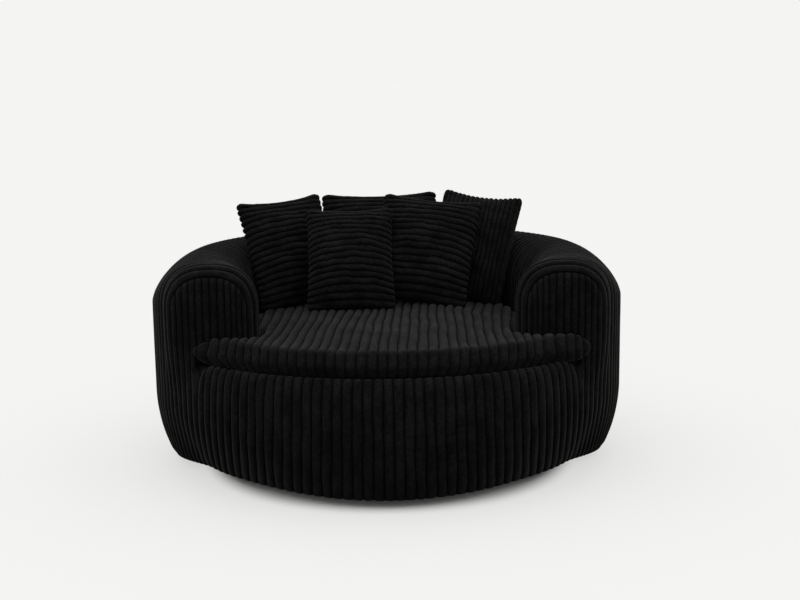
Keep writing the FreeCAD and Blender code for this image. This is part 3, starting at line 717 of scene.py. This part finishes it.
class LOUNGE_OT_base_front(bpy.types.Operator):
    """The padded front of the base, with upright wales that end in round heads at the crease"""

    bl_idname = "lounge_chair.base_front"
    bl_label = "Base front"

    def execute(self, context):
        side = nose_length + outer_face_wales * base_side_pitch
        full = path.length_at(1.5 * math.pi)
        start, stop = path.stop + side, full + path.start - side
        number = round((stop - start) / sizes().body_pitch)
        count = wale_places(number)
        from_end = np.minimum(count, number - count)
        low_height, turned_in = lower_wall_heights()
        top_depth, top_height = crease_rows()
        ledge_depth = np.linspace(first_step, ledge_length, base_ledge_rows) + crease_inset
        height = np.concatenate([low_height, top_height, np.full(base_ledge_rows, ledge_height)])
        depth = np.concatenate([turned_in, top_depth, ledge_depth])
        row = np.linspace(0, 1, len(height))[None]
        lengths = start + count[:, None] / number * (stop - start)
        steady = smooth_share(from_end, 0, base_steady)[:, None]
        lengths = lengths + base_sway * steady * wander(count[:, None] * 1.7, row * 5)
        points = np.zeros(lengths.shape + (3,))
        points[..., :2] = wall_points(lengths, height, depth)
        points[..., 2] = height[None]
        ridges = wale_height(count)[:, None] * round_heads(height)
        points = raise_wales(points, ridges)
        points[:, -base_ledge_rows:, 2] = ledge_height
        self.meet_faces(points, smooth_share(from_end, 0, turned_wales)[:, None, None])
        mesh = grid_mesh("base_front_plush", points, ridges)
        upholster("base_front_plush", mesh, "front_border_cover", "front_border_foam")
        return {"FINISHED"}

    def meet_faces(self, points, share):
        """Turns the ledge at both ends to the inner foot of the arm faces, and a little past it."""
        crease = points[:, -base_ledge_rows - 1 : -base_ledge_rows, :2]
        outward = np.stack([np.sign(crease[..., 0]), np.ones_like(crease[..., 0])], -1)
        foot = np.array([arm_front_inner + seam_drawn, seam_y]) * outward
        along = np.linspace(first_face_step, ledge_overrun, base_ledge_rows)[None, :, None]
        to_foot = crease + (foot - crease) * along + outward * np.array([ledge_overlap, 0]) * along
        ledge = points[:, -base_ledge_rows:, :2]
        points[:, -base_ledge_rows:, :2] = to_foot * (1 - share) + ledge * share


# The arm faces: their rows, and how their inner wales narrow
face_rows, face_ledge_rows, first_face_step = 30, 5, 0.12
narrowing = 0.15

# How round their edge is, how far they bulge, and how short their wales end below it
face_edge_power, face_crown, face_head = 2.4, 0.004, 0.016

# Between which places outward, and over how many rows, they slope into the base's side
slope_from, slope_full, slope_rows = 0.548, 0.590, 12


def face_points(count):
    """The arm face and the base below it, as columns from the outer seam to the inner one. Also gives the
    slices of its rows and the height of each column's top."""
    anchor = path.start - nose_length - np.minimum(count, outer_face_wales) * base_side_pitch
    outer, inward = oval(path.angle_at(anchor))
    centre_x = (math.cos(path.end) * half_width + arm_front_inner) / 2
    half = math.cos(path.end) * half_width - centre_x
    reach = half - seam_drawn
    spring = roll_height - half
    last_x = outer[count <= outer_face_wales][-1, 0]
    share = np.clip((count - outer_face_wales) / (face_wales - outer_face_wales), 0, 1)
    first_share = smooth_share(count, outer_face_wales, 0)
    face_x = np.where(
        count <= outer_face_wales,
        outer[:, 0] + (centre_x + reach - outer[0, 0]) * first_share,
        last_x + (centre_x - reach - last_x) * (share * (1 + narrowing) - narrowing * share**2),
    )
    side = np.clip((face_x - centre_x) / reach, -1, 1)
    top = spring + reach * (1 - np.abs(side) ** (2 / arm_squareness)) ** (arm_squareness / 2)
    low_height, turned_in = lower_wall_heights()
    top_depth, top_height = crease_rows()
    wall = slice(0, len(low_height))
    shoulder = slice(wall.stop, wall.stop + len(top_depth))
    ledge = slice(shoulder.stop, shoulder.stop + face_ledge_rows)
    face = slice(ledge.stop, ledge.stop + face_rows)
    points = np.zeros((len(count), face.stop, 3))
    points[:, wall, :2] = wall_points(np.repeat(anchor[:, None], wall.stop, axis=1), low_height, turned_in)
    points[:, wall, 2] = low_height
    points[:, shoulder, :2] = outer[:, None] + inward[:, None] * top_depth[None, :, None]
    points[:, shoulder, 2] = top_height
    foot = np.stack([face_x, np.full_like(face_x, seam_y)], -1)
    crease = points[:, shoulder.stop - 1, :2]
    along = np.linspace(first_face_step, 1, face_ledge_rows)[None, :, None]
    points[:, ledge, :2] = crease[:, None] * (1 - along) + foot[:, None] * along
    points[:, ledge, 2] = ledge_height
    heights = deck_height + (top[:, None] - deck_height) * np.linspace(0, 1, face_rows + 1)[1:]
    rise = np.clip((heights - spring) / reach, 0, 1)
    edge = np.abs(side)[:, None] ** face_edge_power + rise**face_edge_power
    edge = np.clip(edge, 0, 1) ** (1 / face_edge_power)
    inset = np.minimum(seam_drawn + reach * (1 - edge), nose_round * (1 - math.cos(nose_face_turn)))
    forward = np.sqrt(nose_round**2 - (nose_round - inset) ** 2)
    points[:, face, 0] = face_x[:, None]
    points[:, face, 1] = -arm_front - forward - face_crown * (1 - edge**2)
    points[:, face, 2] = heights
    return points, (wall, shoulder, ledge, face), top


def slope_share(points, parts):
    """1 for the columns outside the cushion's ear, 0 for those that meet its underside."""
    return smooth_share(points[:, parts[0].stop, 0], slope_from, slope_full)[:, None]


def sloped_outside(points, parts):
    """Outside the cushion's ear the face runs down into the base without a ledge."""
    wall, shoulder, ledge, face = parts
    share = slope_share(points, parts)
    start, stop = shoulder.start, face.start + slope_rows
    low, high = points[:, wall.stop - 1], points[:, stop]
    for row in range(start, stop):
        along = (row - start + 1) / (stop - start + 1)
        height = low[:, 2:] + (high[:, 2:] - low[:, 2:]) * along
        blend = smooth_share(along, 0, 1)
        flat = low[:, :2] * (1 - blend) + high[:, :2] * blend
        target = np.concatenate([flat, height], axis=1)
        points[:, row] = points[:, row] * (1 - share) + target * share
    return points


class LOUNGE_OT_arm_faces(bpy.types.Operator):
    """The upright cord of the two arm faces, which runs on down the sides of the base"""

    bl_idname = "lounge_chair.arm_faces"
    bl_label = "Arm faces"

    def execute(self, context):
        count = wale_places(face_wales)
        base, parts, top = face_points(count)
        _, shoulder, ledge, _ = parts
        base = sloped_outside(base, parts)
        share = slope_share(base, parts)
        near_top = np.clip((top[:, None] - base[..., 2]) / face_head, 0, 1)
        kept_height = np.ones(base.shape[1])
        kept_height[shoulder] = round_heads(crease_rows()[1])
        # The ledge has no ridges, so it takes the plush's painted groove shade under the cushion's ear
        kept_height[ledge] = 0
        ridges = wale_height(count)[:, None] * np.sqrt(1 - (1 - near_top) ** 2)
        ridges = ridges * (kept_height[None] * (1 - share) + share)
        keep = np.ones(ridges.shape, bool)
        keep[count > outer_face_wales, : ledge.start] = False
        for side, word in ((1, "right"), (-1, "left")):
            order = slice(None, None, -side)
            points = (base * np.array([side, 1, 1]))[order]
            points = raise_wales(points, ridges[order])
            sunk = np.clip(ledge_height - points[:, ledge, 2], 0, None)
            points[:, ledge, 2] += sunk * (1 - share[order])
            name = "arm_face_plush_" + word
            mesh = grid_mesh(name, points, ridges[order], keep[order])
            upholster(name, mesh, "arm_end_cover_" + word, "arm_end_foam_" + word)
        return {"FINISHED"}


# The seat cushion: its net, how far its cloth stands out, and its fuller lower edge, by height
soften_rounds, soften_factor = 40, 0.5
skin_out = 0.0033
belly_out, belly_low, belly_high = 0.010, 0.005, 0.050

# The ears before the arms, which reach further on the right, and the blunt tip of the left one
ear_inner, ear_outer, ear_behind, ear_ahead = 0.43, 0.56, 0.32, 0.40
ear_shift, ear_stretch = 0.014, 0.041
nose_reach, nose_fullness = 0.048, 0.9
tip_plain, tip_corded = 0.006, 0.036

# By which way the cloth faces: where its wales end at the sides and below, and where its top swells
sides_plain, sides_corded = 0.97, 0.72
under_plain, under_corded = -0.75, -0.2
top_from, top_full = 0.3, 0.9

# Its wales run closer together outside, lean outward at the front edge, and fan out from the back to it
narrow_from, narrow_wales, narrow_columns = 0.42, 0.85, 1.7
lean_edge, lean_reach, lean_above, lean_under, under_height = 0.004, 0.034, 1.3, 1.2, 0.045
lean_gone, lean_full, lean_behind, lean_ahead = 0.58, 0.44, -0.25, 0.50
fan_front, fan_change, fan_width, fan_ahead, fan_behind = 0.045, 0.10, 0.44, -0.62, 0.15

# How uneven the cloth lies, and how light its ridges are and its ends, which have none: the wale value that
# sets the plush's painted groove shade and painted ridge sheen
seat_proud, swell_height = 0.003, 0.0018
slow_drift, quick_drift = 0.0034, 0.0011
ridge_light, end_light = 0.96, 0.7


def cushion_top(x, y):
    """The height of the seat cushion's crowned top, from how far out a place lies."""
    share = np.hypot(x / crown_half_x, (y - crown_y) / crown_half_y)
    share = np.clip(share, crown_top_share, 1)
    return cushion_bottom + cushion_edge_height + cushion_crown * (1 - share**2)


def remeshed(name, node, voxel, turn):
    """A copy of a CAD solid, turned and remeshed into an even net, then smoothed."""
    source = frame["nodes"][node]
    copied = bmesh.new()
    copied.from_mesh(source.data)
    bmesh.ops.remove_doubles(copied, verts=copied.verts, dist=1e-5)
    bmesh.ops.rotate(copied, verts=copied.verts, cent=(0, 0, 0), matrix=Matrix.Rotation(turn, 3, "Z"))
    mesh = bpy.data.meshes.new(name)
    copied.to_mesh(mesh)
    copied.free()
    piece = bpy.data.objects.new(name, mesh)
    bpy.context.scene.collection.objects.link(piece)
    net = piece.modifiers.new("net", "REMESH")
    net.mode = "VOXEL"
    net.voxel_size = voxel
    soften = piece.modifiers.new("soften", "SMOOTH")
    soften.factor = soften_factor
    soften.iterations = soften_rounds
    result = bpy.data.meshes.new_from_object(piece.evaluated_get(bpy.context.evaluated_depsgraph_get()))
    result.name = name
    bpy.data.objects.remove(piece)
    return result


def mesh_arrays(mesh):
    """Places and normals of a mesh's vertices."""
    places = np.empty(len(mesh.vertices) * 3)
    mesh.vertices.foreach_get("co", places)
    normals = np.empty(len(mesh.vertices) * 3, np.float32)
    mesh.vertex_normals.foreach_get("vector", normals)
    return places.reshape(-1, 3), normals.reshape(-1, 3).astype(float)


def fuller(places, normals):
    """The cushion's form a skin further out, with a fuller lower edge."""
    places = places + normals * skin_out
    low = smooth_share(-places[:, 2], -cushion_bottom - belly_high, -cushion_bottom - belly_low)
    places[:, :2] += normals[:, :2] * belly_out * low[:, None]
    return places


def eared(places, turn):
    """Pulls the ears out before the arms and blunts the left tip. Also gives how far each place lies from the
    tip on its side."""
    ahead = places[:, 0] * math.sin(turn) - places[:, 1] * math.cos(turn)
    ear = smooth_share(np.abs(places[:, 0]), ear_inner, ear_outer)
    ear = ear * smooth_share(ahead, ear_behind, ear_ahead)
    places[:, 0] += ear * (ear_shift + ear_stretch * np.sign(places[:, 0]))
    reach = np.where(places[:, 0] < 0, -places[:, 0].min(), places[:, 0].max())
    nose = np.clip((reach - np.abs(places[:, 0])) / nose_reach, 0, 1)
    places[:, 0] -= np.where(places[:, 0] < 0, nose_reach, 0) * nose_fullness * nose * (1 - nose) ** 2
    return places, reach - np.abs(places[:, 0])


def wale_lean(places):
    """How far aside the seat's wales are counted: closer together outside, and leaning outward at the front
    edge, whose own direction they follow."""
    x, y = places[:, 0], places[:, 1]
    outward = np.stack([x / half_width**2, y / half_depth**2], -1)
    outward /= np.maximum(np.linalg.norm(outward, axis=1, keepdims=True), 1e-6)
    reach = np.maximum(np.hypot(x / half_width, y / half_depth), 0.2)
    inside = np.clip((1 - reach) * np.hypot(x, y) / reach - lean_edge, 0, lean_reach)
    inside = inside * smooth_share(-np.abs(x), -lean_gone, -lean_full)
    under = smooth_share(-places[:, 2], -cushion_bottom - under_height, -cushion_bottom)
    narrower = np.sign(x) * narrow_wales * np.clip(np.abs(x) - narrow_from, 0, None) ** 2
    lean = outward[:, 0] * inside * (lean_above + lean_under * under)
    return narrower + lean * smooth_share(-y, lean_behind, lean_ahead)


class LOUNGE_OT_seat_cushion(bpy.types.Operator):
    """The loose seat cushion: crowned, eared before the arms, its wales running to the front and down"""

    bl_idname = "lounge_chair.seat_cushion"
    bl_label = "Seat cushion"

    def execute(self, context):
        pitch, turn = sizes().body_pitch, sizes().seat_turn
        columns = len(wale_columns)
        voxel = pitch / columns
        mesh = remeshed("seat_cushion_plush", "seat_cushion_core", voxel, turn)
        places, normals = mesh_arrays(mesh)
        places = fuller(places, normals)
        phase = np.median((places[:, 0] / voxel) % 1)
        places, from_tip = eared(places, turn)
        count = ((places[:, 0] + wale_lean(places)) / voxel - phase) / columns
        part = count % 1
        tip = smooth_share(from_tip, tip_plain, tip_corded)
        eased = part + (np.interp(part, np.linspace(0, 1, columns + 1), (*wale_columns, 1)) - part) * tip
        closer = 1 + narrow_columns * np.clip(np.abs(places[:, 0]) - narrow_from, 0, None)
        places[:, 0] += (eased - part) * pitch / closer
        ridges = wale_height(np.floor(count) + eased)
        sideways = smooth_share(-np.abs(normals[:, 0]), -sides_plain, -sides_corded)
        below = smooth_share(normals[:, 2], under_plain, under_corded)
        swell = swell_height * wander(count * 1.1, places[:, 1] * 9)
        swell = swell * smooth_share(normals[:, 2], top_from, top_full)
        lift = (seat_proud - (1 - ridges) * tip * sizes().seat_ridge) * sideways * below + swell
        slow = slow_drift * wander(places[:, 1] * 6, count * 0.20)
        drift = slow + quick_drift * wander(places[:, 1] * 15, count * 1.1)
        places += normals * lift[:, None]
        places[:, 0] += drift
        places = places @ np.array(Matrix.Rotation(-turn, 3, "Z")).T
        fan = fan_front - fan_change * smooth_share(places[:, 1], fan_ahead, fan_behind)
        places[:, 0] *= 1 + fan * np.clip(1 - (np.abs(places[:, 0]) / fan_width) ** 2, 0, 1)
        places[:, 2] = np.maximum(places[:, 2], cushion_bottom)
        mesh.vertices.foreach_set("co", places.ravel())
        attribute = mesh.attributes.new("wale", "FLOAT", "POINT")
        # The wale value that paints groove shade and ridge sheen on the plush; the plain ends get an even
        # middle value
        shown = ridge_light * ridges * sideways + (1 - sideways) * end_light
        attribute.data.foreach_set("value", shown.astype(np.float32))
        nodes = "seat_cushion_cover", "seat_cushion_core"
        piece = new_piece("seat_cushion_plush", mesh, "seat_cushion", *nodes)
        return {"FINISHED"}


# The pillows, in shares of their half width and height: pulled-in sides and top, and rounded corners
waist_side, waist_top, waist_rise = 0.065, 0.070, 0.035
corner_cut, corner_power = 0.045, 20

# How flat their middle is, how round it falls to the seams, and how their cloth crumples and puckers
crown_power, crown_fall = 2.3, 0.62
crumple_depth, pucker_depth = 0.004, 0.006

# How their wales swing, and how much finer the upright ones lie
swing, swing_change = 0.060, 0.024
upright_finer = 1.3

# How near the seam the wales end in heads, from where and how far it dips between them, how deep the cloth
# lies, and how far its wale value is held down, which paints the pillows darker as painted shade
seam_width, seam_from, seam_dip, upright_dip = 0.06, 0.90, 0.028, 0.010
groove_share, pillow_light = 0.4, 0.88
knife_rows = 61
seam_gap = 0.0004

# Where a pillow's lower edge is felt for on the cushion, how its outline stands there, and its gap above it
foot_shares = (-1, -0.78, -0.4, 0, 0.4, 0.78, 1)
foot_height_shares = (1, 0.965, 0.945, 0.94, 0.945, 0.965, 1)
foot_gap = 0.0005


def pillow_side(across, up, width, height, thickness, front):
    """One face of a pillow in its own frame: full in the middle, thin at the seams, with pulled-in sides."""
    fall = np.clip(1 - np.abs(across) ** crown_power, 0, 1) ** crown_fall
    fall = fall * np.clip(1 - np.abs(up) ** crown_power, 0, 1) ** crown_fall
    waist_x = 1 - waist_side * (1 - up**2) * np.abs(across) ** 2
    waist_z = 1 - (waist_top + waist_rise * up) * (1 - across**2) * np.abs(up) ** 2
    x = width / 2 * across * waist_x * (1 - corner_cut * np.abs(up) ** corner_power) * stretched_wide
    z = height / 2 * up * waist_z * (1 - corner_cut * np.abs(across) ** corner_power) * stretched_tall
    pucker = np.abs(across * up) ** 1.5 * (1 - np.abs(across * up) ** 4)
    crumple = crumple_depth * wander(across * 6 + 3 * front, up * 5) * fall
    crumple = crumple + pucker_depth * pucker * wander(across * 14, up * 14)
    y = (thickness / 2 * fall + crumple) * front
    return np.stack([x, y, z], -1)


def pillow_matrix(spec):
    """Stands a pillow on the cushion's crown, leant back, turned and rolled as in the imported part."""
    width, height, thickness, foot, turn, lean, roll, _ = spec
    turn, lean, roll = math.radians(turn), math.radians(lean), math.radians(roll)
    way = np.array([math.cos(turn), math.sin(turn)]) * width / 2
    shares, highs = np.array(foot_shares), np.array(foot_height_shares)
    places = np.array(foot)[None] + way[None] * shares[:, None]
    rise = (1 - highs) * height / 2 - shares * width / 2 * math.sin(roll)
    feet = cushion_top(places[:, 0], places[:, 1]) - rise * math.cos(lean)
    matrix = Matrix.Translation((foot[0], foot[1], feet.max() + foot_gap))
    matrix @= Matrix.Rotation(turn, 4, "Z")
    matrix @= Matrix.Rotation(-lean, 4, "X")
    matrix @= Matrix.Rotation(roll, 4, "Y")
    return matrix @ Matrix.Translation((0, 0, height / 2))


def pillow_mesh(name, spec):
    """Two corded faces, joined at the seam all round."""
    width, height, thickness, _, _, _, _, upright = spec
    length = width if upright else height
    number = round(length / sizes().pillow_pitch * (upright_finer if upright else 1))
    corded = wale_places(number) / number * 2 - 1
    plain = np.sin(np.linspace(-1, 1, knife_rows) * math.pi / 2)
    across, up = np.meshgrid(corded if upright else plain, plain if upright else corded, indexing="ij")
    counted, other = (across, up) if upright else (up, across)
    count = counted / 2 * number + number / 2
    unevenly = swing + swing_change * wander(other * 2.2 + len(name), count * 0.40)
    counted = counted + unevenly * ((1 - other**2) * (1 - counted**2))
    across, up = (counted, other) if upright else (other, counted)
    seam = np.clip(1 - np.maximum(np.abs(across), np.abs(up)), 0, 1)
    head = np.sqrt(np.clip(1 - (1 - np.clip(seam / seam_width, 0, 1)) ** 2, 0, 1))
    ridges = wale_height(count) * head
    ends = smooth_share(np.abs(other), seam_from, 1) * (1 - wale_height(count))
    depth = sizes().pillow_ridge
    joined = bmesh.new()
    for front in (-1, 1):
        points = pillow_side(across, up, width, height, thickness, front)
        points[..., 2 if upright else 0] *= 1 - (upright_dip if upright else seam_dip) * ends
        order = slice(None, None, -front)
        points, heights, heads = points[order], ridges[order], head[order]
        raised = surface_normals(points) * (heights * depth - groove_share * depth * heads)[..., None]
        # The wale value is held lower on the pillows: painted shade, through the plush's groove shade and
        # ridge sheen
        mesh = grid_mesh(name, points + raised, heights * pillow_light)
        joined.from_mesh(mesh)
        bpy.data.meshes.remove(mesh)
    edges = [v for v in joined.verts if v.is_boundary]
    bmesh.ops.remove_doubles(joined, verts=edges, dist=seam_gap)
    bmesh.ops.transform(joined, matrix=pillow_matrix(spec), verts=joined.verts)
    result = bpy.data.meshes.new(name)
    joined.to_mesh(result)
    joined.free()
    return result


class LOUNGE_OT_pillows(bpy.types.Operator):
    """The five loose throw pillows, knife-edged, in finer cord"""

    bl_idname = "lounge_chair.pillows"
    bl_label = "Throw pillows"

    def execute(self, context):
        for name, spec in pillows.items():
            mesh = pillow_mesh(name + "_plush", spec)
            piece = new_piece(name + "_plush", mesh, name, name + "_cover", name + "_insert")
        return {"FINISHED"}


class LOUNGE_OT_frame_finishes(bpy.types.Operator):
    """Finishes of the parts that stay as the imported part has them: wood, foam, lining, nylon and steel"""

    bl_idname = "lounge_chair.frame_finishes"
    bl_label = "Frame finishes"

    def execute(self, context):
        finishes = {
            "foam": foam_block("cut_seat_foam", "#d8cda9", "#e2dabd"),
            "plywood": planed_wood("birch_plywood", "#c9a877", "#dcc094", 9),
            "timber": planed_wood("planed_pine", "#c79a5c", "#e0bd84", 6),
            "fibreboard": planed_wood("bent_hardboard", "#6b4a2e", "#7c5837", 3),
            "webbing": woven_cloth("elastic_webbing", "#17171a", "#34343a", 3),
            "black_cloth": woven_cloth("black_lining", "#0c0c0d", "#1b1b1d", 1.5),
            "glide_nylon": moulded_nylon("black_nylon", "#131314", "#1c1c1d"),
            "ring_nylon": moulded_nylon("natural_nylon", "#d9d8cc", "#e6e5dc"),
            "black_steel": powder_coat(),
            "zinc_steel": zinc_plate(),
        }
        for part in frame["record"]["subparts"]:
            node = frame["nodes"][part["node"]]
            finish = finishes.get(part["material_slot"])
            if finish is None:
                continue
            if node.data.materials:
                node.data.materials[0] = finish
            else:
                node.data.materials.append(finish)
        return {"FINISHED"}


# The stage: half the floor's side, the sky's light at the horizon and straight above, and the camera
floor_reach = 40
light_below, light_above = 0.20, 1.42
film_width, lens_length = 36, 61.0
camera_distance, camera_height = 4.36, 1.335
camera_pan, camera_pitch, camera_roll = math.radians(-0.56), math.radians(90 - 10.8), math.radians(-0.75)


class LOUNGE_OT_stage(bpy.types.Operator):
    """A plain pale floor, soft light from above and the camera of the photograph"""

    bl_idname = "lounge_chair.stage"
    bl_label = "Floor, light and camera"

    def execute(self, context):
        scene = context.scene
        scene.view_settings.view_transform = "Standard"
        made = bmesh.new()
        bmesh.ops.create_grid(made, x_segments=1, y_segments=1, size=floor_reach)
        mesh = bpy.data.meshes.new("studio_floor")
        made.to_mesh(mesh)
        made.free()
        floor = bpy.data.objects.new("studio_floor", mesh)
        scene.collection.objects.link(floor)
        mesh.materials.append(pale_floor())
        self.make_world(scene)
        self.make_camera(scene)
        return {"FINISHED"}

    def make_world(self, scene):
        """Even light from above. The camera and gloss see the backdrop's colour in its place."""
        world = bpy.data.worlds.new("soft_studio")
        world.use_nodes = True
        tree = world.node_tree
        tree.nodes.clear()
        place = add(tree, "ShaderNodeTexCoord").outputs["Generated"]
        height = add(tree, "ShaderNodeSeparateXYZ", {0: place}).outputs[2]
        by_height = {"Value": height, "To Min": light_below, "To Max": light_above}
        strength = add(tree, "ShaderNodeMapRange", by_height).outputs[0]
        light = add(tree, "ShaderNodeBackground", {"Color": (1, 1, 1, 1), "Strength": strength})
        shown = add(tree, "ShaderNodeBackground", {"Color": (*colours().floor, 1), "Strength": 1.0})
        rays = add(tree, "ShaderNodeLightPath")
        seen = rays.outputs["Is Camera Ray"]
        for ray in ("Is Glossy Ray", "Is Transmission Ray"):
            either = {0: seen, 1: rays.outputs[ray]}
            seen = add(tree, "ShaderNodeMath", either, operation="MAXIMUM").outputs[0]
        mixed = add(tree, "ShaderNodeMixShader", {0: seen, 1: light.outputs[0], 2: shown.outputs[0]})
        add(tree, "ShaderNodeOutputWorld", {"Surface": mixed.outputs[0]})
        scene.world = world

    def make_camera(self, scene):
        """The camera, before the chair and a little above it, as in the photograph."""
        camera = bpy.data.cameras.new("camera")
        camera.sensor_width = film_width
        camera.lens = lens_length
        eye = bpy.data.objects.new("camera", camera)
        turn = Matrix.Rotation(camera_pan, 4, "Z")
        turn @= Matrix.Rotation(camera_pitch, 4, "X")
        turn @= Matrix.Rotation(camera_roll, 4, "Z")
        eye.matrix_world = Matrix.Translation((0, -camera_distance, camera_height)) @ turn
        scene.collection.objects.link(eye)
        scene.camera = eye


steps = (
    LOUNGE_OT_frame_finishes,
    LOUNGE_OT_arm_roll,
    LOUNGE_OT_base_front,
    LOUNGE_OT_arm_faces,
    LOUNGE_OT_seat_cushion,
    LOUNGE_OT_pillows,
    LOUNGE_OT_stage,
)


class LOUNGE_PT_panel(bpy.types.Panel):
    """The chair's pieces, sizes and colours"""

    bl_idname = "LOUNGE_PT_panel"
    bl_label = "Lounge chair"
    bl_space_type = "VIEW_3D"
    bl_region_type = "UI"
    bl_category = "Lounge chair"

    def draw(self, context):
        for group in (sizes(), colours()):
            for name in group.__annotations__:
                self.layout.prop(group, name)
        for step in steps:
            self.layout.operator(step.bl_idname)


classes = (ChairSizes, ChairColours, *steps, LOUNGE_PT_panel)


def register():
    for kind in classes:
        bpy.utils.register_class(kind)
    bpy.types.Scene.lounge_chair_sizes = bpy.props.PointerProperty(type=ChairSizes)
    bpy.types.Scene.lounge_chair_colours = bpy.props.PointerProperty(type=ChairColours)


def unregister():
    del bpy.types.Scene.lounge_chair_colours
    del bpy.types.Scene.lounge_chair_sizes
    for kind in reversed(classes):
        bpy.utils.unregister_class(kind)


def main():
    register()
    bpy.ops.lounge_chair.frame_finishes()
    bpy.ops.lounge_chair.arm_roll()
    bpy.ops.lounge_chair.base_front()
    bpy.ops.lounge_chair.arm_faces()
    bpy.ops.lounge_chair.seat_cushion()
    bpy.ops.lounge_chair.pillows()
    bpy.ops.lounge_chair.stage()


if __name__ == "__main__":
    main()
